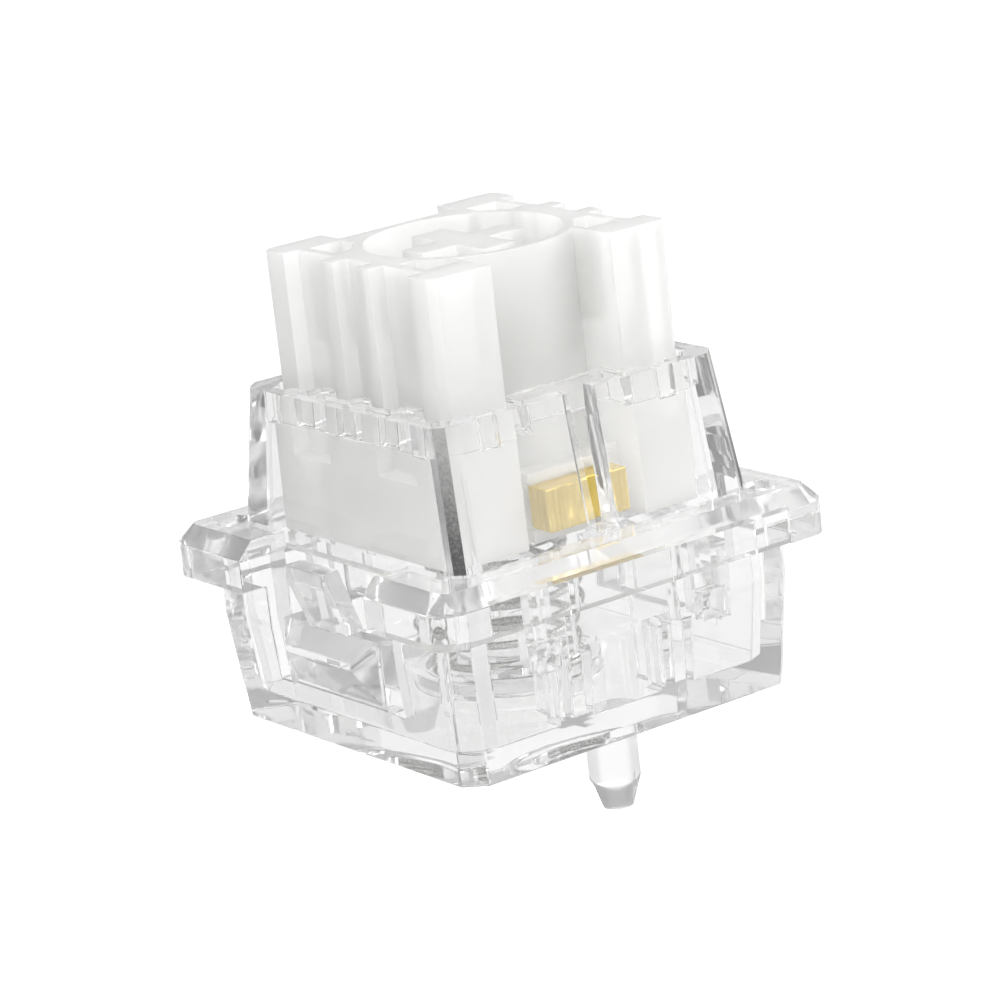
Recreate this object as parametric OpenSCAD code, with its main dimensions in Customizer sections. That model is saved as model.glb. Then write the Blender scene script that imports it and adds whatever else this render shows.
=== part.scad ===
// Clear keyboard switch with a linear stem, a return spring and a gold-plated magnet.
// Millimetres. The origin is the centre of the seat on the circuit board, +Z up.
// The latches are on the two X sides, the locating pegs and the magnet on the Y axis.
// Widths build outwards from the stem: cap, body and flange follow it.

/* [Board and plate] */
// Height of the mounting plate's top above the circuit board
plate_height = 5; // [4.6:0.1:5.6]
// Distance from each locating peg's centre to the side of the foot
peg_inset = 1.52; // [1.4:0.01:1.7]
// Diameter of the locating pegs
peg_d = 1.7; // [1.5:0.05:1.9]
// Length of the locating pegs under the seat
peg_length = 2.7; // [2.2:0.1:3.2]
// Length of the pegs' tapered tip
peg_tip = 1; // [0.6:0.1:1.4]
// Diameter of the pegs' end
peg_end_d = 1.05; // [0.8:0.05:1.2]

/* [Flange] */
// How far the square flange stands out past the body
flange_lip = 0.9; // [0.7:0.05:1.1]
// Thickness of the flange
flange_t = 1.1; // [0.9:0.1:1.4]
// Corner radius of the flange in plan
flange_r = 0.9; // [0.7:0.1:1.2]
// Depth of the shallow relief along the two plain flange sides
relief_depth = 0.1; // [0.05:0.05:0.2]
// Length of each corner block that stands proud beside the relief
corner_block = 1.8; // [1.4:0.1:2.2]
// Width of the latch notch in the flange
notch_w = 7; // [6.6:0.1:7.4]

/* [Lower housing] */
// Room between the stem and the body's wall on each side
side_room = 1.3; // [1.2:0.05:1.4]
// Wall of the body
body_wall = 0.9; // [0.8:0.05:1]
// How far the body draws in at the circuit board on each side
body_draw = 0.3; // [0.2:0.05:0.4]
// Height of the tapered lower part of the body
body_taper_h = 3.6; // [3:0.1:4]
// Chamfer on the upright corners of the body
body_corner = 0.65; // [0.5:0.05:0.9]
// Thickness of the floor
floor_t = 1; // [0.8:0.1:1.2]
// Height of the latch window's lower edge above the circuit board
window_bottom = 1.85; // [1.6:0.05:2]
// Thickness of the latch tongue
tongue_t = 0.7; // [0.6:0.05:0.8]
// Gap on each side of the latch tongue
tongue_gap = 0.75; // [0.6:0.05:0.9]
// Width of the finger tab on the tongue
tab_w = 2.1; // [1.8:0.1:2.8]
// How far the latch nose stands out of the body
nose_out = 0.6; // [0.4:0.05:0.7]
// Thickness of the rails that guide the stem's bays
rail_t = 0.35; // [0.3:0.05:0.4]
// Height of the thick feet of the rails above the floor
rail_foot_h = 2.2; // [1.8:0.1:2.6]
// Width of the thick feet of the rails
rail_foot_w = 1.3; // [1.1:0.1:1.5]
// Height of the seat inside the spring above the floor
seat_h = 1; // [0.8:0.1:1.2]

/* [Upper housing] */
// Thickness of the foot plate on the flange
foot_t = 0.6; // [0.5:0.05:0.8]
// Height of the cap above the foot plate
cap_h = 4.55; // [4.4:0.05:4.9]
// Width of the crown's rim along X
crown_rim_x = 0.95; // [0.85:0.05:1]
// Width of the crown's rim along Y
crown_rim_y = 0.8; // [0.7:0.05:0.85]
// How far the cap leans in along X from its base to its crown
cap_lean_x = 0.3; // [0.25:0.05:0.35]
// How far the cap leans in along Y from its base to its crown
cap_lean_y = 0.7; // [0.5:0.05:0.75]
// Chamfer on the upright corners of the cap
cap_corner = 0.5; // [0.3:0.05:0.7]
// Wall of the cap at its base
cap_wall = 0.95; // [0.85:0.05:1]
// Thickness of the crown
crown_t = 1.1; // [0.9:0.1:1.3]
// Width of the teeth that reach from the crown into the stem's grooves
tooth_w = 1; // [0.9:0.05:1.05]
// Distance between the teeth
tooth_pitch = 2.35; // [2.2:0.05:2.5]
// Width of the light slot at its foot
slot_w = 0.8; // [0.5:0.1:1]
// Width of the slits in the edge of the crown's opening
slit_w = 0.7; // [0.6:0.1:0.9]
// Width of the snap legs
leg_w = 0.7; // [0.6:0.1:1]
// Thickness of the snap legs
leg_t = 0.6; // [0.5:0.05:0.7]

/* [Stem] */
// Width of the square stem
stem_w = 9.4; // [9.3:0.05:9.5]
// Height of the stem's top above the crown
stem_rise = 4.45; // [4.3:0.05:5]
// How far the stem travels
travel = 4; // [3.2:0.1:4]
// Room under the stem's posts when it is pressed down fully
foot_clear = 1.35; // [1.2:0.05:1.6]
// Chamfer on the upright corners of the stem
stem_corner = 0.25; // [0.2:0.05:0.35]
// Width of the corner posts along Y
post_y = 1.25; // [1.1:0.05:1.4]
// Depth of the grooves on the X sides
groove_depth = 0.6; // [0.5:0.05:0.7]
// Width of the ribs between the grooves
rib_w = 0.7; // [0.6:0.05:0.9]
// Distance of each rib's centre from the middle
rib_offset = 1; // [0.95:0.01:1.1]
// Wall of the round well towards the bays
ring_wall = 0.35; // [0.3:0.05:0.45]
// Depth of the well
well_depth = 4; // [3.6:0.1:4.2]
// Thickness of the well's floor
well_floor_t = 0.85; // [0.7:0.05:1]
// Length of the keycap cross along X
cross_x = 4.1; // [4:0.05:4.15]
// Length of the keycap cross along Y
cross_y = 4; // [3.9:0.05:4.1]
// Thickness of the arm that lies along X
arm_x_t = 1.1; // [1:0.05:1.15]
// Thickness of the arm that lies along Y
arm_y_t = 1.3; // [1.25:0.05:1.35]

/* [Magnet] */
// Width of the magnet
magnet_w = 3.25; // [3.1:0.05:3.4]
// Thickness of the magnet
magnet_t = 1; // [0.8:0.05:1]
// Height of the magnet
magnet_h = 1.45; // [1.2:0.05:1.6]
// Thickness of the pad behind the magnet
magnet_backing = 0.3; // [0.25:0.05:0.4]
// How far the magnet's face stands out past the stem
magnet_proud = 0.2; // [0.1:0.05:0.25]
// Height of the ledge that carries the magnet
magnet_ledge = 0.45; // [0.35:0.05:0.6]

/* [Return spring] */
// Outer diameter of the spring
spring_d = 4.4; // [4.2:0.1:4.5]
// Diameter of the spring wire
wire_d = 0.26; // [0.2:0.02:0.3]
// Number of open turns
open_turns = 13; // [11:1:14]
// Clearance round the spring in the stem
spring_play = 0.4; // [0.3:0.05:0.5]

/* [Fit] */
// Running clearance between the stem and the housings
run_gap = 0.12; // [0.08:0.01:0.15]
// Clearance between parts that stay together
fit_gap = 0.03; // [0.02:0.01:0.05]

/* [Hidden] */
$fn = 48;
// Longer than anything that is cut right through
through = 40;
// How far cuts run past the faces that they open
over = 1;
// How far joined shapes run into each other
bite = 0.1;

seam_z = plate_height + flange_t;
foot_top_z = seam_z + foot_t;
crown_z = foot_top_z + cap_h;
crown_under_z = crown_z - crown_t;
stem_top_z = crown_z + stem_rise;
stem_bottom_z = floor_t + travel + foot_clear;
// Depth of the free play between the stem's stop and the crown
stop_gap = 0.1;

// Half widths from the stem outwards
stem_half = stem_w / 2;
cavity_half = stem_half + side_room;
body_half = cavity_half + body_wall;
foot_half = body_half - body_draw;
flange_half = body_half + flange_lip;
crown_half_x = stem_half + crown_rim_x;
crown_half_y = stem_half + crown_rim_y;
base_half_x = crown_half_x + cap_lean_x;
base_half_y = crown_half_y + cap_lean_y;
peg_offset = foot_half - peg_inset;

relief_half = flange_half - corner_block;
flange_chamfer = foot_t - 0.05;

// The cavity narrows with the body's taper and keeps the wall
floor_half = foot_half - body_wall + body_draw * floor_t / body_taper_h;

// Opening of the crown and the cavity of the cap round it
opening_half = stem_half + run_gap;
cap_in_x = base_half_x - cap_wall;
cap_in_y = base_half_y - cap_wall;
cap_in_top = opening_half + 0.06;
cap_in_corner = stem_corner + 0.1;

// Latch window and tongue
tongue_half = notch_w / 2 - tongue_gap;
tongue_foot_z = window_bottom - 0.5;
tongue_in_x = body_half - tongue_t;
tongue_top_z = plate_height - 0.9;
tab_top_z = seam_z + 0.3;
tab_out = flange_half - 0.15;
nose_z = plate_height - 1.7;
nose_half = tongue_half - 0.2;
nose_bevel = 0.7;

// Magnet in its pad at the foot of the front bay
pad_back_y = stem_half + magnet_proud - magnet_t - magnet_backing;
magnet_back_y = pad_back_y + magnet_backing;
magnet_z = stem_bottom_z + magnet_ledge;
ledge_depth = 0.3;
pad_half = magnet_w / 2 + 0.135;
pad_top_z = magnet_z + magnet_h + 0.4;

// Guide rails run between the pad and the posts, with a clearance on both sides
rail_out = pad_half + run_gap + rail_t;
rail_in_y = pad_back_y + 2 * run_gap;
bay_half = rail_out + run_gap;
bay_depth = stem_half - pad_back_y;
post_x = stem_half - bay_half;

// Snap legs of the upper housing and their windows
leg_x = bay_half + 1;
leg_bottom_z = plate_height - 1.8;
barb_h = 0.7;
barb_out = 0.35;
barb_slope = 0.5;
leg_room = 0.1;

// Well for the keycap, and the spring under its floor
well_r = pad_back_y - ring_wall;
well_floor_z = stem_top_z - well_depth;
spring_top_z = well_floor_z - well_floor_t;
spring_bore_r = spring_d / 2 + spring_play;
wire_r = wire_d / 2;
coil_r = spring_d / 2 - wire_r;
seat_r = coil_r - wire_r - 0.25;
seat_top_z = floor_t + seat_h;

function mirrored(pts) = concat(
    [for (p = pts) [p[0], p[1]]],
    [for (i = [len(pts) - 1:-1:0]) [-pts[i][0], pts[i][1]]]
);

// Half width across the corners that leaves a chamfer c on each upright edge
function corner_half(x, y, c) = (x + y - c) / sqrt(2);

// Upright prism with a symmetric profile of [half width, height] points, facing along Y
module profile_along_y(pts) {
    rotate([90, 0, 0])
        linear_extrude(height = through, center = true)
            polygon(mirrored(pts));
}

// Block with its own taper in X and Y and a chamfer c on the upright edges
// Each row of sizes is [half x, half y, height]
module tapered_block(rows, c) {
    intersection() {
        profile_along_y([for (r = rows) [r[0], r[2]]]);
        rotate([0, 0, 90])
            profile_along_y([for (r = rows) [r[1], r[2]]]);
        rotate([0, 0, 45])
            profile_along_y([for (r = rows) [corner_half(r[0], r[1], c), r[2]]]);
        rotate([0, 0, -45])
            profile_along_y([for (r = rows) [corner_half(r[0], r[1], c), r[2]]]);
    }
}

module box_between(low, high) {
    translate(low)
        cube(high - low);
}

// Square plate with round corners and an optional chamfer round its top
module flange_plate(z, t, chamfer) {
    inner = flange_half - flange_r;
    side = t - chamfer;
    for (turn = [0, 90])
        rotate([0, 0, turn])
            intersection() {
                profile_along_y([
                    [flange_half, z],
                    [flange_half, z + side],
                    [flange_half - chamfer, z + t]
                ]);
                box_between([-flange_half, -inner, z], [flange_half, inner, z + t]);
            }
    for (sx = [-1, 1], sy = [-1, 1])
        translate([sx * inner, sy * inner, z]) {
            cylinder(r = flange_r, h = side);
            translate([0, 0, side])
                cylinder(r1 = flange_r, r2 = flange_r - chamfer, h = chamfer);
        }
}

// Shallow relief along the two flange sides that have no latch
module side_reliefs() {
    for (s = [-1, 1])
        translate([0, s * (flange_half + over - relief_depth), seam_z])
            cube([2 * relief_half, 2 * over, through], center = true);
}

// Notch on each X side, cut back to the cap's wall
module latch_notches() {
    for (s = [-1, 1])
        translate([s * (base_half_x + through / 2), 0, seam_z])
            cube([through, notch_w, 2 * (flange_t + foot_t + over)], center = true);
}

// Plan of the stem, grown by a clearance where it is cut out of the crown
module stem_plan(grow) {
    half = stem_half + grow;
    square([2 * (half - groove_depth), 2 * (half - bay_depth)], center = true);
    for (sx = [-1, 1], sy = [-1, 1]) {
        intersection() {
            translate([sx * (stem_half - post_x / 2), sy * (stem_half - post_y / 2)])
                square([post_x + 2 * grow, post_y + 2 * grow], center = true);
            rotate(45)
                square(2 * corner_half(half, half, stem_corner), center = true);
        }
        translate([sx * half / 2, sy * rib_offset])
            square([half, rib_w + 2 * grow], center = true);
    }
}

module lower_shell() {
    tapered_block([
        [foot_half, foot_half, 0],
        [body_half, body_half, body_taper_h],
        [body_half, body_half, plate_height + bite]
    ], body_corner);
    flange_plate(plate_height, flange_t, 0);
}

module lower_cavity() {
    tapered_block([
        [floor_half, floor_half, floor_t],
        [cavity_half, cavity_half, body_taper_h],
        [cavity_half, cavity_half, seam_z + over]
    ], body_corner);
}

module latch_windows() {
    for (turn = [0, 180])
        rotate([0, 0, turn])
            box_between(
                [cavity_half - over, -notch_w / 2, window_bottom],
                [body_half + over / 4, notch_w / 2, seam_z + over]
            );
}

module leg_windows() {
    for (sx = [-1, 1])
        translate([sx * leg_x, 0, leg_bottom_z + barb_h / 2])
            cube([leg_w + 2 * leg_room, through, barb_h + 2 * leg_room], center = true);
}

// Springy tongue with its nose under the plate and the finger tab beside the flange
module latch_tongue() {
    rotate([90, 0, 0]) {
        linear_extrude(height = 2 * tongue_half, center = true)
            polygon([
                [tongue_in_x, tongue_foot_z],
                [body_half - 0.15, tongue_foot_z],
                [body_half, window_bottom + 0.4],
                [body_half, tongue_top_z],
                [tongue_in_x, tongue_top_z]
            ]);
        linear_extrude(height = tab_w, center = true)
            polygon([
                [tongue_in_x, tongue_top_z - bite],
                [body_half, tongue_top_z - bite],
                [tab_out, tab_top_z - 0.5],
                [tab_out, tab_top_z],
                [tab_out - tongue_t, tab_top_z]
            ]);
    }
    latch_nose();
}

// Wedge with a steep upper face that holds under the plate, bevelled at both ends
module latch_nose() {
    tip = body_half + nose_out;
    intersection() {
        rotate([90, 0, 0])
            linear_extrude(height = 2 * tongue_half, center = true)
                polygon([
                    [tongue_in_x, nose_z - 1.2],
                    [body_half, nose_z - 1.2],
                    [tip, nose_z],
                    [tip, nose_z + 0.25],
                    [body_half, nose_z + 0.9],
                    [tongue_in_x, nose_z + 0.9]
                ]);
        linear_extrude(height = plate_height)
            polygon([
                [tongue_in_x, -nose_half],
                [body_half, -nose_half],
                [tip, -nose_half + nose_bevel],
                [tip, nose_half - nose_bevel],
                [body_half, nose_half],
                [tongue_in_x, nose_half]
            ]);
    }
}

// Rails that guide the bays of the stem and let the magnet pass between them
module guide_rails() {
    rail_x = rail_out - rail_t / 2;
    wall_y = cavity_half + bite;
    foot_y = stem_half + magnet_proud + run_gap;
    for (turn = [0, 180], s = [-1, 1])
        rotate([0, 0, turn])
            translate([s * rail_x, 0, 0]) {
                box_between([-rail_t / 2, rail_in_y, bite], [rail_t / 2, wall_y, seam_z - bite]);
                box_between(
                    [-rail_foot_w / 2, foot_y, bite],
                    [rail_foot_w / 2, wall_y, floor_t + rail_foot_h]
                );
            }
}

// Seat inside the spring, where the stem's pole lands, and the low collar round the spring
module spring_seat() {
    collar_in = spring_d / 2 + 0.15;
    collar_wall = 0.4;
    collar_h = 0.5;
    translate([0, 0, floor_t - bite]) {
        cylinder(r = seat_r, h = seat_h + bite);
        difference() {
            cylinder(r = collar_in + collar_wall, h = collar_h + bite);
            translate([0, 0, -over])
                cylinder(r = collar_in, h = collar_h + 2 * over);
        }
    }
}

module locating_peg() {
    straight = peg_length - peg_tip;
    translate([0, 0, -straight])
        cylinder(d = peg_d, h = straight + floor_t / 2);
    translate([0, 0, -peg_length])
        cylinder(d1 = peg_end_d, d2 = peg_d, h = peg_tip);
}

module lower_housing() {
    color("whitesmoke") {
        difference() {
            lower_shell();
            lower_cavity();
            latch_windows();
            latch_notches();
            side_reliefs();
            leg_windows();
        }
        intersection() {
            guide_rails();
            lower_shell();
        }
        for (turn = [0, 180])
            rotate([0, 0, turn])
                latch_tongue();
        spring_seat();
        for (s = [-1, 1])
            translate([0, s * peg_offset, 0])
                locating_peg();
    }
}

module cap_shell() {
    tapered_block([
        [base_half_x, base_half_y, seam_z],
        [base_half_x, base_half_y, foot_top_z],
        [crown_half_x, crown_half_y, crown_z]
    ], cap_corner);
}

module cap_cavity() {
    tapered_block([
        [cap_in_x, cap_in_y, seam_z - over],
        [cap_in_x, cap_in_y, foot_top_z],
        [cap_in_top, cap_in_top, crown_under_z]
    ], cap_in_corner);
}

// Opening for the stem, with three teeth on each X side that reach into its grooves
module crown_opening() {
    stem_plan(run_gap);
    difference() {
        square([2 * opening_half, 2 * (stem_half - post_y)], center = true);
        for (s = [-1, 1], i = [-1:1])
            translate([s * opening_half, i * tooth_pitch])
                square([2 * groove_depth, tooth_w], center = true);
    }
}

// Relief slits beside the middle of each post, in the edge of the crown's opening
module crown_slits() {
    slit_depth = 0.28;
    slit_x = stem_half - post_x / 2;
    slit_y = stem_half - post_y / 2;
    for (s = [-1, 1], t = [-1, 1]) {
        translate([s * slit_x, t * opening_half, crown_z])
            cube([slit_w, 2 * slit_depth, 2 * (crown_t + over)], center = true);
        translate([t * opening_half, s * slit_y, crown_z])
            cube([2 * slit_depth, slit_w, 2 * (crown_t + over)], center = true);
    }
}

// Light slot in the front wall, wider at the crown, with the channel behind its two ribs
module front_slot() {
    slot_flare = 0.13;
    rib_beside = 0.5;
    channel_half = bay_half - rib_beside;
    channel_back = rail_in_y + 0.3;
    intersection() {
        profile_along_y([
            [slot_w / 2, foot_top_z + 0.1],
            [slot_w / 2 + slot_flare, crown_z + over]
        ]);
        box_between([-bay_half, -through, 0], [bay_half, bite - cap_in_top, crown_z + over]);
    }
    box_between(
        [-channel_half, -cap_in_top, crown_under_z - over],
        [channel_half, -channel_back, crown_z + over]
    );
}

// Legs that snap into the lower housing
module snap_legs() {
    leg_out = cavity_half - fit_gap;
    for (sx = [-1, 1], turn = [0, 180])
        rotate([0, 0, turn])
            translate([sx * leg_x, 0, 0])
                rotate([90, 0, 90])
                    linear_extrude(height = leg_w, center = true)
                        polygon([
                            [leg_out - leg_t, leg_bottom_z],
                            [leg_out, leg_bottom_z],
                            [leg_out + barb_out, leg_bottom_z + barb_slope],
                            [leg_out + barb_out, leg_bottom_z + barb_h],
                            [leg_out, leg_bottom_z + barb_h],
                            [leg_out, seam_z + bite],
                            [leg_out - leg_t, seam_z + bite]
                        ]);
}

// Shallow pockets in two opposite flange corners
module corner_pockets() {
    pocket_d = 1.1;
    pocket_in = 1.6;
    pocket_depth = 0.35;
    for (turn = [0, 180])
        rotate([0, 0, turn])
            translate([flange_half - pocket_in, pocket_in - flange_half, foot_top_z - pocket_depth])
                cylinder(d = pocket_d, h = pocket_depth + over);
}

module upper_housing() {
    color("ghostwhite")
        difference() {
            union() {
                cap_shell();
                flange_plate(seam_z, foot_t, flange_chamfer);
                snap_legs();
            }
            cap_cavity();
            translate([0, 0, crown_under_z - bite])
                linear_extrude(height = crown_t + over)
                    crown_opening();
            latch_notches();
            side_reliefs();
            crown_slits();
            front_slot();
            corner_pockets();
        }
}

// Cross that holds the keycap
module keycap_cross() {
    drop = 0.15;
    z = well_floor_z - bite;
    h = well_depth + bite - drop;
    translate([-cross_x / 2, -arm_x_t / 2, z])
        cube([cross_x, arm_x_t, h]);
    translate([-arm_y_t / 2, -cross_y / 2, z])
        cube([arm_y_t, cross_y, h]);
}

// Fills the lower ends of the grooves, which stop the stem under the crown
module groove_ends() {
    middle_top = crown_under_z - stop_gap;
    outer_top = middle_top - 1;
    difference() {
        union() {
            box_between(
                [-stem_half, -rib_offset, stem_bottom_z],
                [stem_half, rib_offset, middle_top]
            );
            box_between(
                [-stem_half, -stem_half + post_y / 2, stem_bottom_z],
                [stem_half, stem_half - post_y / 2, outer_top]
            );
        }
        for (s = [-1, 1])
            translate([0, s * (pad_back_y + through / 2), 0])
                cube([2 * bay_half, through, through], center = true);
    }
}

// Wedges of the front bay outside the well's round wall
module bay_wedges() {
    translate([0, 0, pad_top_z])
        linear_extrude(height = through)
            difference() {
                translate([-bay_half, -pad_back_y - over])
                    square([2 * bay_half, pad_back_y]);
                circle(r = pad_back_y);
            }
}

// Sink pockets between the well and the corner posts
module post_pockets() {
    depth = 3;
    wall = 0.35;
    span_x = 1.2;
    span_y = 1.5;
    corner_x = stem_half - groove_depth - wall;
    corner_y = pad_back_y - wall;
    translate([0, 0, stem_top_z - depth])
        linear_extrude(height = depth + over)
            difference() {
                for (sx = [-1, 1], sy = [-1, 1])
                    translate([sx * (corner_x - span_x / 2), sy * (corner_y - span_y / 2)])
                        square([span_x, span_y], center = true);
                circle(r = well_r + wall);
            }
}

// Hollow round the spring, open at the bottom, with a wall left towards the bay's wedges
module stem_hollow() {
    wall_x = 1.4;
    wall_y = 0.35;
    roof_t = 1.6;
    wedge_y = sqrt(pow(pad_back_y, 2) - pow(bay_half, 2));
    translate([0, 0, stem_bottom_z - over])
        cylinder(r = spring_bore_r, h = spring_top_z - stem_bottom_z + over);
    box_between(
        [wall_x - stem_half, wall_y - wedge_y, stem_bottom_z - over],
        [stem_half - wall_x, wedge_y - wall_y, spring_top_z - roof_t]
    );
}

// Pole inside the spring, which lands on the seat at the end of the travel
module stem_pole() {
    low = seat_top_z + travel;
    translate([0, 0, low])
        cylinder(r = seat_r, h = spring_top_z + bite - low);
}

// Pad in the front bay that holds the magnet between two ledges
module magnet_pad() {
    difference() {
        box_between(
            [-pad_half, -magnet_back_y - ledge_depth, stem_bottom_z],
            [pad_half, bite - pad_back_y, pad_top_z]
        );
        box_between(
            [-through, -through, magnet_z - fit_gap],
            [through, -magnet_back_y, magnet_z + magnet_h + fit_gap]
        );
    }
}

module stem() {
    color("white") {
        difference() {
            union() {
                translate([0, 0, stem_bottom_z])
                    linear_extrude(height = stem_top_z - stem_bottom_z)
                        stem_plan(0);
                groove_ends();
            }
            bay_wedges();
            translate([0, 0, well_floor_z])
                cylinder(r = well_r, h = well_depth + over);
            stem_hollow();
            post_pockets();
        }
        stem_pole();
        magnet_pad();
        keycap_cross();
    }
}

module magnet() {
    color("gold")
        box_between(
            [-magnet_w / 2, -magnet_back_y - magnet_t, magnet_z],
            [magnet_w / 2, -magnet_back_y, magnet_z + magnet_h]
        );
}

// Height of the wire's centre after t turns, with one closed turn at each end
end_turns = 1;
total_turns = open_turns + 2 * end_turns;
wire_low = floor_t + wire_r;
wire_high = spring_top_z - wire_r;
open_low = wire_low + wire_d * end_turns;
open_high = wire_high - wire_d * end_turns;
function coil_z(t) =
    t < end_turns ? wire_low + wire_d * t :
    t > total_turns - end_turns ? wire_high - wire_d * (total_turns - t) :
    open_low + (open_high - open_low) * (t - end_turns) / open_turns;

steps_a_turn = 20;
wire_sides = 8;
function wire_point(step, side) =
    let (
        turn = 360 * step / steps_a_turn,
        a = 360 * side / wire_sides,
        r = coil_r + wire_r * cos(a)
    )
    [r * cos(turn), r * sin(turn), coil_z(step / steps_a_turn) + wire_r * sin(a)];

module return_spring() {
    rings = total_turns * steps_a_turn;
    color("lightgray")
        polyhedron(
            points = [
                for (i = [0:rings], j = [0:wire_sides - 1])
                    wire_point(i, j)
            ],
            faces = concat(
                [[for (j = [0:wire_sides - 1]) j]],
                [for (i = [0:rings - 1], j = [0:wire_sides - 1])
                    [
                        i * wire_sides + j,
                        (i + 1) * wire_sides + j,
                        (i + 1) * wire_sides + (j + 1) % wire_sides,
                        i * wire_sides + (j + 1) % wire_sides
                    ]
                ],
                [[for (j = [wire_sides - 1:-1:0]) rings * wire_sides + j]]
            ),
            convexity = 10
        );
}

upper_housing();
lower_housing();
stem();
magnet();
return_spring();
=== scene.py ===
"""Looks of a clear magnetic keyboard switch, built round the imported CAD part."""

import math

import bmesh
import bpy
from mathutils import Matrix, Vector


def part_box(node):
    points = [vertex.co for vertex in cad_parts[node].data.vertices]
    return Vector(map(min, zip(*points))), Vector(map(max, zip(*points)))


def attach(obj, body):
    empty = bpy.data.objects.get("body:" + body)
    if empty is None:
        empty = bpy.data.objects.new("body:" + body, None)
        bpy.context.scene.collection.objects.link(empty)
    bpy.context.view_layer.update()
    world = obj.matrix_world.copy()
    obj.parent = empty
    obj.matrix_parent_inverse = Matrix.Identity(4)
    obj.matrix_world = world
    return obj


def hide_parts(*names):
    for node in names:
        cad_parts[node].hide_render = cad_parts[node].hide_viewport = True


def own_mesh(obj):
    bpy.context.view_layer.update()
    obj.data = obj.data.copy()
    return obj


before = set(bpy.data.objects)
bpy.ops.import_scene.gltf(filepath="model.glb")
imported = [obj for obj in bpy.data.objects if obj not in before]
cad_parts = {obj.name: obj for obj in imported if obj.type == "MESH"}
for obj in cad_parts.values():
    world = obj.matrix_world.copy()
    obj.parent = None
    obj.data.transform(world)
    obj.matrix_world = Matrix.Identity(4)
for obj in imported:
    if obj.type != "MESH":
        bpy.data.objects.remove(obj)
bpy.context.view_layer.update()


# Lower housing: the moulded base that clips into the plate, of clear polycarbonate.
# It is injection moulded in a polished tool, so its walls are as clear as glass and its
# edges carry the tool's small radius, which is where the clear plastic turns dark.
def linear(colour):
    """The linear colour of an sRGB hex value."""
    parts = [int(colour[i : i + 2], 16) / 255 for i in (1, 3, 5)]
    return [c / 12.92 if c <= 0.04045 else ((c + 0.055) / 1.055) ** 2.4 for c in parts] + [1]


def add_node(material, kind, settings=None, links=None):
    """One node with its settings and sockets set, linked to the outputs that feed it."""
    node = material.node_tree.nodes.new(kind)
    for name, value in (settings or {}).items():
        if isinstance(name, str) and hasattr(node, name):
            setattr(node, name, value)
        else:
            node.inputs[name].default_value = value
    for socket, output in (links or {}).items():
        material.node_tree.links.new(output, node.inputs[socket])
    return node


def new_material(name):
    """An empty node material."""
    material = bpy.data.materials.new(name)
    material.use_nodes = True
    material.node_tree.nodes.clear()
    return material


def merged_shape(node):
    """The CAD node's shape with its triangles merged into whole faces."""
    weld_distance = 2e-6
    flat_within = math.radians(1)
    shape = bmesh.new()
    shape.from_mesh(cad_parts[node].data)
    bmesh.ops.remove_doubles(shape, verts=shape.verts, dist=weld_distance)
    bmesh.ops.dissolve_limit(
        shape, angle_limit=flat_within, verts=shape.verts, edges=shape.edges
    )
    shape.normal_update()
    return shape


def round_edges(shape, edges, radius, steps, clamp=True):
    """Gives these edges the radius that the mould leaves."""
    bmesh.ops.bevel(
        shape,
        geom=edges,
        affect="EDGES",
        offset=radius,
        offset_type="OFFSET",
        segments=steps,
        profile=0.5,
        material=-1,
        clamp_overlap=clamp,
    )
    shape.normal_update()


def sharp_edges(shape, radius):
    """The sharp edges whose ends and faces have room for the radius."""
    least = 2.3 * radius
    sharp_angle = math.radians(20)
    room = {
        vert: min(edge.calc_length() for edge in vert.link_edges) > least
        for vert in shape.verts
    }
    broad = {
        face: face.calc_area() > least * max(edge.calc_length() for edge in face.edges)
        for face in shape.faces
    }
    return [
        edge
        for edge in shape.edges
        if edge.is_manifold
        and edge.calc_face_angle(0) > sharp_angle
        and all(room[vert] for vert in edge.verts)
        and all(broad[face] for face in edge.link_faces)
    ]


def moulded_piece(shape, name):
    """The finished shape as an object, a hair inside its faces so that it touches no other.

    Light gets caught between two clear faces that lie in one plane, and they turn black.
    """
    inset = 5e-6
    for vert in shape.verts:
        vert.co -= vert.normal * min(vert.calc_shell_factor(), 2) * inset
    mesh = bpy.data.meshes.new(name)
    shape.to_mesh(mesh)
    shape.free()
    piece = bpy.data.objects.new(name, mesh)
    bpy.context.scene.collection.objects.link(piece)
    return piece


# Clear polycarbonate from a polished tool: clear as glass with a high index, so every
# edge and corner bends the studio into grey bands, and its flow leaves faint streaks.
polycarbonate = new_material("clear_polycarbonate_polished_tool")
clear_place = add_node(polycarbonate, "ShaderNodeTexCoord")
# The melt runs up the walls, so the streaks are 0.8 mm wide and four times as tall.
flow_run = add_node(
    polycarbonate,
    "ShaderNodeMapping",
    {"Scale": (1250, 1250, 300)},
    {"Vector": clear_place.outputs["Object"]},
)
flow = add_node(
    polycarbonate,
    "ShaderNodeTexNoise",
    {"Scale": 1.0, "Detail": 2.0},
    {"Vector": flow_run.outputs[0]},
)
flow_tint = add_node(
    polycarbonate,
    "ShaderNodeMix",
    {"data_type": "RGBA", 6: linear("#f7f7f7"), 7: linear("#fefefe")},
    {0: flow.outputs[0]},
)
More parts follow.
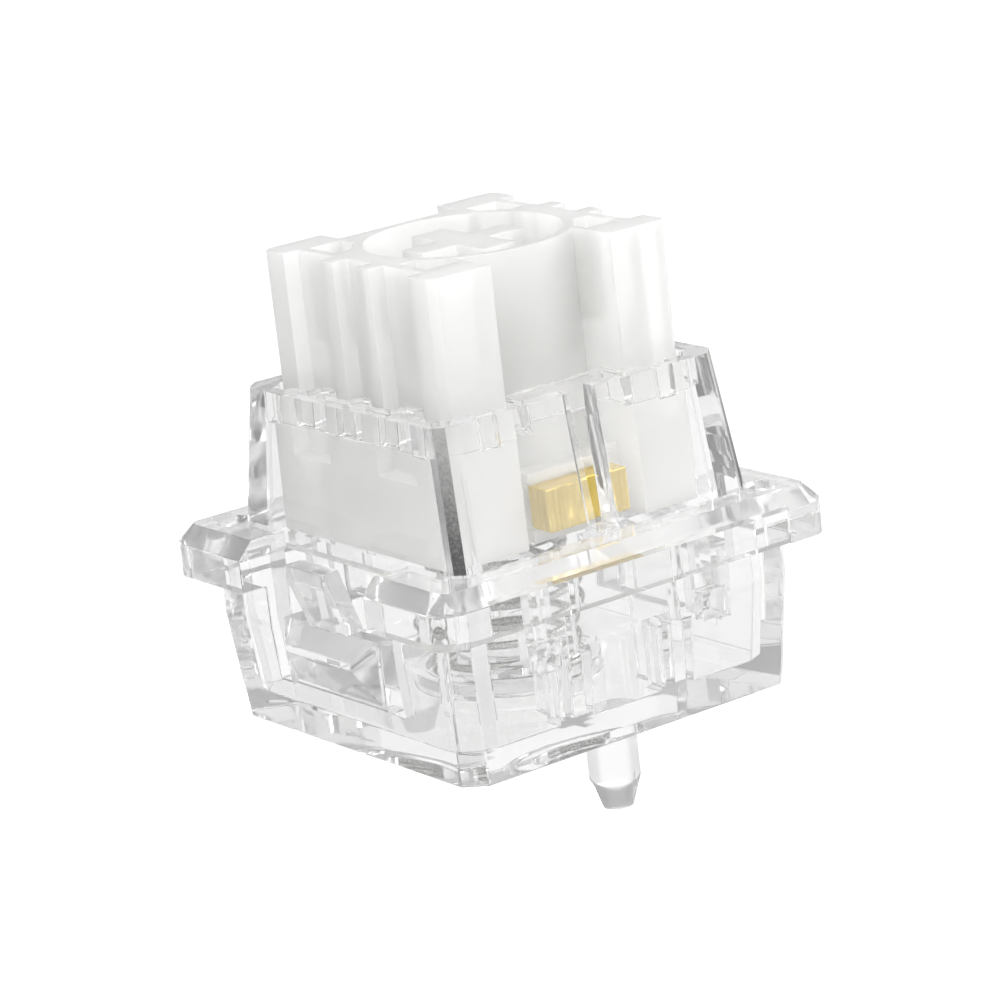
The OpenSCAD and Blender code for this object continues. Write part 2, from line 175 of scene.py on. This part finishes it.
# The polish leaves a waviness of about 1.2 mm that the eye only sees as a wobble.
polish = add_node(
    polycarbonate,
    "ShaderNodeTexNoise",
    {"Scale": 830.0, "Detail": 1.0},
    {"Vector": clear_place.outputs["Object"]},
)
polish_wave = add_node(
    polycarbonate,
    "ShaderNodeBump",
    {"Strength": 0.02, "Distance": 0.00001},
    {"Height": polish.outputs[0]},
)
clear_body = add_node(
    polycarbonate,
    "ShaderNodeBsdfPrincipled",
    {"Roughness": 0.02, "IOR": 1.585, "Transmission Weight": 0.94},
    {"Base Color": flow_tint.outputs[2], "Normal": polish_wave.outputs[0]},
)
add_node(polycarbonate, "ShaderNodeOutputMaterial", links={"Surface": clear_body.outputs[0]})

base_radius = 0.00006
base_shape = merged_shape("lower_housing")
round_edges(base_shape, sharp_edges(base_shape, base_radius), base_radius, 2)
base = moulded_piece(base_shape, "base_moulding")
base.data.materials.append(polycarbonate)
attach(base, "housing")
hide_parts("lower_housing")
base.visible_shadow = False


# Upper housing: the cap over the stem, injection moulded of the base's clear polycarbonate.
# Its crown guides the stem, its foot lies on the base's flange, and its four legs snap
# into the base.

# Spark-eroded polycarbonate: the tool leaves the cap's corners matt. Their mottled grey stripe,
# darker towards the flange, is painted shade in the base colour, standing in for the studio's
# dark that the clear corners bend in.
matt_painted_shade = new_material("spark_eroded_polycarbonate_painted_shade")
matt_place = add_node(matt_painted_shade, "ShaderNodeTexCoord")
matt_parts = add_node(
    matt_painted_shade, "ShaderNodeSeparateXYZ", links={"Vector": matt_place.outputs["Object"]}
)
# Painted shade: the corner colour darkens downwards from 11.2 mm to 7.2 mm, towards the flange.
painted_shade_by_height = add_node(
    matt_painted_shade,
    "ShaderNodeMapRange",
    {"From Min": 0.0072, "From Max": 0.0112},
    {"Value": matt_parts.outputs["Z"]},
)
# The pits are about 0.06 mm across, drawn at 0.1 mm; the same noise mottles the painted shade.
pits_and_shade_mottle = add_node(
    matt_painted_shade,
    "ShaderNodeTexNoise",
    {"Scale": 10000.0, "Detail": 2.0},
    {"Vector": matt_place.outputs["Object"]},
)
painted_shade_level = add_node(
    matt_painted_shade,
    "ShaderNodeMath",
    {"operation": "MULTIPLY_ADD", 1: 1.1},
    {0: pits_and_shade_mottle.outputs[0], 2: painted_shade_by_height.outputs[0]},
)
painted_shade_mottle = add_node(
    matt_painted_shade, "ShaderNodeMath", {"operation": "SUBTRACT", 1: 0.55}, {0: painted_shade_level.outputs[0]}
)
# Painted shade: dark greys standing in for the studio's dark seen through the clear corners.
painted_shade_tint = add_node(
    matt_painted_shade,
    "ShaderNodeMix",
    {"data_type": "RGBA", 6: linear("#3c3c3c"), 7: linear("#9a9a99")},
    {0: painted_shade_mottle.outputs[0]},
)
matt_bump = add_node(
    matt_painted_shade, "ShaderNodeBump", {"Strength": 0.4, "Distance": 0.00002}, {"Height": pits_and_shade_mottle.outputs[0]}
)
matt_body = add_node(
    matt_painted_shade,
    "ShaderNodeBsdfPrincipled",
    {"Roughness": 0.45, "IOR": 1.585, "Transmission Weight": 0.25},
    {"Base Color": painted_shade_tint.outputs[2], "Normal": matt_bump.outputs[0]},
)
add_node(matt_painted_shade, "ShaderNodeOutputMaterial", links={"Surface": matt_body.outputs[0]})

# The slits in the crown's opening end 1.15 mm under its top, where the CAD solid's go on
# to 2.1 mm, and they run out shallow there.
cap_shape = merged_shape("upper_housing")
crown_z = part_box("upper_housing")[1][2]
solid_slit_end = crown_z - 0.0021
slit_end = crown_z - 0.00115
opening_side = 0.00488
slit_back = 0.00505
depth_left = 0.05
for vert in cap_shape.verts:
    if abs(vert.co.z - solid_slit_end) < 0.00002:
        vert.co.z = slit_end
        for i in (0, 1):
            depth = abs(vert.co[i]) - opening_side
            if 0 < depth < slit_back - opening_side:
                vert.co[i] = math.copysign(opening_side + depth * depth_left, vert.co[i])
cap_shape.normal_update()

# The cap's outer corners are told by their faces and edges, which are at least this tall.
tall_edge = 0.003


def is_outer_corner(face):
    """Whether the face is a tall slanting corner face of the cap's outside."""
    slant = 0.64
    corner_reach = 0.0102
    foot_top = 0.0065
    middle = face.calc_center_median()
    heights = [vert.co.z for vert in face.verts]
    return (
        min(abs(face.normal.x), abs(face.normal.y)) > slant
        and abs(middle.x) + abs(middle.y) > corner_reach
        and min(heights) > foot_top
        and max(heights) - min(heights) > tall_edge
    )


corner_radius = 0.00015
cap_radius = 0.00006
corner_edges = [
    edge
    for edge in cap_shape.edges
    if abs(edge.verts[0].co.z - edge.verts[1].co.z) > tall_edge
    and any(is_outer_corner(face) for face in edge.link_faces)
]
round_edges(cap_shape, corner_edges, corner_radius, 4, clamp=False)
# Only the edges above the seam with the base are rounded, as the legs have no room.
over_seam = 0.0063
upper_edges = [
    edge
    for edge in sharp_edges(cap_shape, cap_radius)
    if min(vert.co.z for vert in edge.verts) > over_seam
]
round_edges(cap_shape, upper_edges, cap_radius, 2)
# The slots below: 0 clear, 1 matt with painted shade.
for face in cap_shape.faces:
    face.material_index = 1 if is_outer_corner(face) else 0
cap = moulded_piece(cap_shape, "cap_moulding")
cap.data.materials.append(polycarbonate)
cap.data.materials.append(matt_painted_shade)
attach(cap, "housing")
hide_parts("upper_housing")
cap.visible_shadow = False


# Stem: the plunger that carries the keycap on its cross and the magnet in its front bay.
# It is one injection moulding of unfilled acetal (polyoxymethylene), held in the cap by
# stops under the crown.

# Milky acetal: light goes some way in, so thin walls glow, edges stay soft and the inside
# shows as faint bands.
milky = new_material("milky_acetal_moulded")
milky_place = add_node(milky, "ShaderNodeTexCoord")
# Cloudiness of the melt, in patches of about 1.5 mm.
cloud = add_node(
    milky,
    "ShaderNodeTexNoise",
    {"Scale": 650.0, "Detail": 3.0},
    {"Vector": milky_place.outputs["Object"]},
)
cloud_tint = add_node(
    milky,
    "ShaderNodeMix",
    {"data_type": "RGBA", 6: linear("#fcfcfa"), 7: linear("#fefefd")},
    {0: cloud.outputs[0]},
)
# Spark-eroded grain of the tool, 0.05 mm in the real one and drawn at 0.12 mm to show.
grain = add_node(
    milky,
    "ShaderNodeTexNoise",
    {"Scale": 8000.0, "Detail": 2.0},
    {"Vector": milky_place.outputs["Object"]},
)
grain_bump = add_node(
    milky, "ShaderNodeBump", {"Strength": 0.12, "Distance": 0.00001}, {"Height": grain.outputs[0]}
)
milky_body = add_node(
    milky,
    "ShaderNodeBsdfPrincipled",
    {
        "Roughness": 0.32,
        "IOR": 1.48,
        "Transmission Weight": 0.48,
        "Subsurface Weight": 0.8,
        "Subsurface Radius": (1, 1, 1),
        "Subsurface Scale": 0.004,
    },
    {"Base Color": cloud_tint.outputs[2], "Normal": grain_bump.outputs[0]},
)
add_node(milky, "ShaderNodeOutputMaterial", links={"Surface": milky_body.outputs[0]})

stem_radius = 0.00009
stem_shape = merged_shape("stem")
round_edges(stem_shape, sharp_edges(stem_shape, stem_radius), stem_radius, 3)
plunger = moulded_piece(stem_shape, "stem_moulding")
plunger.data.materials.append(milky)
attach(plunger, "stem")
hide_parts("stem")


# Magnet: a small sintered block, pressed into the bay in the stem's front. It is tumbled
# before it is plated, so its edges are rounded.

# Gold plating over ground metal: a warm yellow shine, streaked upright by the grinding.
plating = new_material("gold_plating_on_sintered_block")
plating_place = add_node(plating, "ShaderNodeTexCoord")
# The block is ground before plating, which leaves upright streaks about 0.1 mm apart.
grinding_run = add_node(
    plating,
    "ShaderNodeMapping",
    {"Scale": (9000, 9000, 500)},
    {"Vector": plating_place.outputs["Object"]},
)
grinding = add_node(
    plating,
    "ShaderNodeTexNoise",
    {"Scale": 1.0, "Detail": 3.0},
    {"Vector": grinding_run.outputs[0]},
)
gold_tint = add_node(
    plating,
    "ShaderNodeMix",
    {"data_type": "RGBA", 6: linear("#dcbc44"), 7: linear("#fbe7a0")},
    {0: grinding.outputs[0]},
)
gold_rough = add_node(
    plating,
    "ShaderNodeMapRange",
    {"To Min": 0.14, "To Max": 0.34},
    {"Value": grinding.outputs[0]},
)
gold_bump = add_node(
    plating,
    "ShaderNodeBump",
    {"Strength": 0.2, "Distance": 0.00001},
    {"Height": grinding.outputs[0]},
)
gold_body = add_node(
    plating,
    "ShaderNodeBsdfPrincipled",
    {"Metallic": 1.0},
    {
        "Base Color": gold_tint.outputs[2],
        "Roughness": gold_rough.outputs[0],
        "Normal": gold_bump.outputs[0],
    },
)
add_node(plating, "ShaderNodeOutputMaterial", links={"Surface": gold_body.outputs[0]})

block_radius = 0.00008
block_shape = merged_shape("magnet")
round_edges(block_shape, sharp_edges(block_shape, block_radius), block_radius, 4)
block = moulded_piece(block_shape, "magnet_block")
block.data.materials.append(plating)
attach(block, "stem")
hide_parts("magnet")


# Return spring: coiled from bright spring steel wire, one closed turn at each end.
# It stands on the base's floor round the seat and pushes up under the stem's well.
wire = 0.00026
open_turns = 13
steps_a_turn = 48
wire_sides = 12
spring_low, spring_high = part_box("return_spring")
coil_radius = (spring_high[0] - spring_low[0] - wire) / 2
coil_length = spring_high[2] - spring_low[2]
open_rise = (coil_length - 3 * wire) / open_turns

# Bright drawn spring steel: a thin grey gleam along each turn.
wire_steel = new_material("bright_spring_steel_wire")
steel_place = add_node(wire_steel, "ShaderNodeTexCoord")
# Die lines of the drawn wire, 0.05 mm apart, seen as a change of gloss.
die_lines = add_node(
    wire_steel,
    "ShaderNodeTexNoise",
    {"Scale": 12000.0, "Detail": 2.0},
    {"Vector": steel_place.outputs["Object"]},
)
steel_rough = add_node(
    wire_steel,
    "ShaderNodeMapRange",
    {"To Min": 0.18, "To Max": 0.36},
    {"Value": die_lines.outputs[0]},
)
steel_body = add_node(
    wire_steel,
    "ShaderNodeBsdfPrincipled",
    {"Base Color": linear("#b9b9b6"), "Metallic": 1.0},
    {"Roughness": steel_rough.outputs[0]},
)
add_node(wire_steel, "ShaderNodeOutputMaterial", links={"Surface": steel_body.outputs[0]})

winding = bmesh.new()
end_ring = Matrix.Translation((coil_radius, 0, spring_low[2] + wire / 2)) @ Matrix.Rotation(
    math.radians(90), 4, "X"
)
bmesh.ops.create_circle(winding, radius=wire / 2, segments=wire_sides, matrix=end_ring)
reach = list(winding.verts) + list(winding.edges)
for turns, rise in ((1, wire), (open_turns, open_rise), (1, wire)):
    spun = bmesh.ops.spin(
        winding,
        geom=reach,
        cent=(0, 0, 0),
        axis=(0, 0, 1),
        dvec=(0, 0, rise / steps_a_turn),
        angle=math.tau * turns,
        steps=turns * steps_a_turn,
    )
    reach = spun["geom_last"]
bmesh.ops.holes_fill(winding, edges=winding.edges, sides=wire_sides)
bmesh.ops.recalc_face_normals(winding, faces=winding.faces)
coil_mesh = bpy.data.meshes.new("spring_coil")
winding.to_mesh(coil_mesh)
winding.free()
for face in coil_mesh.polygons:
    face.use_smooth = len(face.vertices) == 4
coil = bpy.data.objects.new("spring_coil", coil_mesh)
bpy.context.scene.collection.objects.link(coil)
coil.data.materials.append(wire_steel)
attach(coil, "housing")
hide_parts("return_spring")
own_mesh(coil)


# Floor: a plain pale paper sweep 30 mm under the board's level, as the switch hangs free
# in the picture. It shows white and keeps the soft shadow of the stem.
def studio_tone(material, direction):
    """How bright the studio is that way: white behind and above, dim at the sides."""
    backdrop_way = (0.5535, 0.7905, -0.2622)
    behind = add_node(
        material,
        "ShaderNodeVectorMath",
        {"operation": "DOT_PRODUCT", 1: backdrop_way},
        {0: direction},
    )
    backdrop = add_node(
        material,
        "ShaderNodeMapRange",
        {
            "interpolation_type": "SMOOTHSTEP",
            "From Min": 0.8,
            "From Max": 0.95,
            "To Min": 0.78,
            "To Max": 1.0,
        },
        {"Value": behind.outputs["Value"]},
    )
    parts = add_node(material, "ShaderNodeSeparateXYZ", links={0: direction})
    height = add_node(
        material, "ShaderNodeMapRange", {"From Min": -1.0}, {"Value": parts.outputs["Z"]}
    )
    levels = add_node(material, "ShaderNodeValToRGB", links={0: height.outputs[0]})
    ramp = levels.color_ramp
    ramp.elements[0].position = 0.0
    ramp.elements[0].color = (0.55, 0.55, 0.55, 1)
    ramp.elements[1].position = 1.0
    ramp.elements[1].color = (1, 1, 1, 1)
    # From straight down (0) to straight up (1): a dim floor, a white band at the level of
    # the backdrop, black flags a little above the camera, and white overhead.
    for position, level in (
        (0.2, 0.65),
        (0.3, 0.9),
        (0.36, 1.0),
        (0.49, 1.0),
        (0.53, 0.4),
        (0.65, 0.4),
        (0.7, 1.0),
    ):
        ramp.elements.new(position).color = (level, level, level, 1)
    return add_node(
        material,
        "ShaderNodeMath",
        {"operation": "MULTIPLY"},
        {0: backdrop.outputs[0], 1: levels.outputs[0]},
    ).outputs[0]


floor_z = -0.03
switch_middle_z = 0.006
floor_shape = bmesh.new()
bmesh.ops.create_grid(
    floor_shape, x_segments=1, y_segments=1, size=2.0, matrix=Matrix.Translation((0, 0, floor_z))
)
floor_mesh = bpy.data.meshes.new("studio_floor")
floor_shape.to_mesh(floor_mesh)
floor_shape.free()
floor = bpy.data.objects.new("studio_floor", floor_mesh)
bpy.context.scene.collection.objects.link(floor)
# White paper: matt and bright where it is seen directly; where it is seen through or in the
# clear plastic it glows with the studio's tone instead, a painted shade that is dimmest straight
# under the switch, which draws the plastic's edges.
paper = new_material("white_paper_sweep")
ray = add_node(paper, "ShaderNodeLightPath")
floor_place = add_node(paper, "ShaderNodeTexCoord")
from_switch = add_node(
    paper,
    "ShaderNodeVectorMath",
    {"operation": "SUBTRACT", 1: (0, 0, switch_middle_z)},
    {0: floor_place.outputs["Object"]},
)
floor_way = add_node(
    paper, "ShaderNodeVectorMath", {"operation": "NORMALIZE"}, {0: from_switch.outputs[0]}
)
floor_painted_shade_tone = studio_tone(paper, floor_way.outputs[0])
seen = add_node(
    paper,
    "ShaderNodeMath",
    {"operation": "MAXIMUM"},
    {0: ray.outputs["Is Glossy Ray"], 1: ray.outputs["Is Transmission Ray"]},
)
spread = add_node(
    paper,
    "ShaderNodeMath",
    {"operation": "MULTIPLY", 1: 0.5},
    {0: ray.outputs["Is Diffuse Ray"]},
)
lift = add_node(
    paper,
    "ShaderNodeMath",
    {"operation": "MULTIPLY_ADD", 1: 0.7},
    {0: ray.outputs["Is Camera Ray"], 2: spread.outputs[0]},
)
glow = add_node(
    paper, "ShaderNodeEmission", {"Color": linear("#ffffff")}, {"Strength": lift.outputs[0]}
)
pale = add_node(paper, "ShaderNodeBsdfDiffuse", {"Color": linear("#a0a0a0")})
direct = add_node(paper, "ShaderNodeAddShader", links={0: glow.outputs[0], 1: pale.outputs[0]})
# Painted shade: through the plastic the paper glows dim under the switch and white further off.
through_painted_shade = add_node(
    paper, "ShaderNodeEmission", {"Color": linear("#ffffff")}, {"Strength": floor_painted_shade_tone}
)
paper_mix = add_node(
    paper,
    "ShaderNodeMixShader",
    links={0: seen.outputs[0], 1: direct.outputs[0], 2: through_painted_shade.outputs[0]},
)
add_node(paper, "ShaderNodeOutputMaterial", links={"Surface": paper_mix.outputs[0]})
floor.data.materials.append(paper)


# Light: a soft white studio. The background is white wherever it is seen directly, and
# through the clear plastic it keeps the studio's dim sides; two soft lamps shape the switch.
scene = bpy.context.scene
scene.view_settings.view_transform = "Standard"
scene.cycles.max_bounces = 32
scene.cycles.diffuse_bounces = 12
scene.cycles.glossy_bounces = 24
scene.cycles.transmission_bounces = 32
studio = bpy.data.worlds.new("white_studio")
scene.world = studio
studio.use_nodes = True
studio.node_tree.nodes.clear()
world_ray = add_node(studio, "ShaderNodeLightPath")
world_way = add_node(studio, "ShaderNodeTexCoord")
world_tone = studio_tone(studio, world_way.outputs["Generated"])
world_seen = add_node(
    studio,
    "ShaderNodeMath",
    {"operation": "MAXIMUM"},
    {0: world_ray.outputs["Is Glossy Ray"], 1: world_ray.outputs["Is Transmission Ray"]},
)
soft_level = add_node(
    studio,
    "ShaderNodeMix",
    {"data_type": "FLOAT", 2: 1.1},
    {0: world_seen.outputs[0], 3: world_tone},
)
white_level = add_node(
    studio,
    "ShaderNodeMath",
    {"operation": "MAXIMUM"},
    {0: soft_level.outputs[0], 1: world_ray.outputs["Is Camera Ray"]},
)
white = add_node(
    studio,
    "ShaderNodeBackground",
    {"Color": linear("#ffffff")},
    {"Strength": white_level.outputs[0]},
)
add_node(studio, "ShaderNodeOutputWorld", links={"Surface": white.outputs[0]})

lit_point = Vector((0, 0, 0.008))
for name, place, size, power in (
    ("key_softbox", (-0.10, -0.12, 0.22), 0.16, 0.5),
    ("fill_softbox", (0.20, -0.10, 0.10), 0.14, 0.26),
):
    lamp = bpy.data.lights.new(name, "AREA")
    lamp.size = size
    lamp.energy = power
    softbox = bpy.data.objects.new(name, lamp)
    softbox.location = place
    aim = lit_point - Vector(place)
    softbox.rotation_euler = aim.to_track_quat("-Z", "Y").to_euler()
    scene.collection.objects.link(softbox)


# Camera: a long lens a little above the flange, with the small roll of the photograph.
look_at = Vector((0, 0, 0.008))
distance, shift_right, shift_down = 0.13524, 0.000363, 0.001176
azimuth, elevation, roll = math.radians(-35.0), math.radians(15.21), math.radians(-6.5)
back = Vector(
    (
        math.sin(azimuth) * math.cos(elevation),
        -math.cos(azimuth) * math.cos(elevation),
        math.sin(elevation),
    )
)
right = Vector((math.cos(azimuth), math.sin(azimuth), 0))
up = back.cross(right)
right, up = (
    math.cos(roll) * right + math.sin(roll) * up,
    math.cos(roll) * up - math.sin(roll) * right,
)
lens = bpy.data.cameras.new("camera")
lens.sensor_width = 36
lens.lens = 149.1
lens.clip_start = 0.01
camera = bpy.data.objects.new("camera", lens)
turn = Matrix((right, up, back)).transposed().to_4x4()
stand = look_at + distance * back + shift_right * right - shift_down * up
camera.matrix_world = Matrix.Translation(stand) @ turn
scene.collection.objects.link(camera)
scene.camera = camera
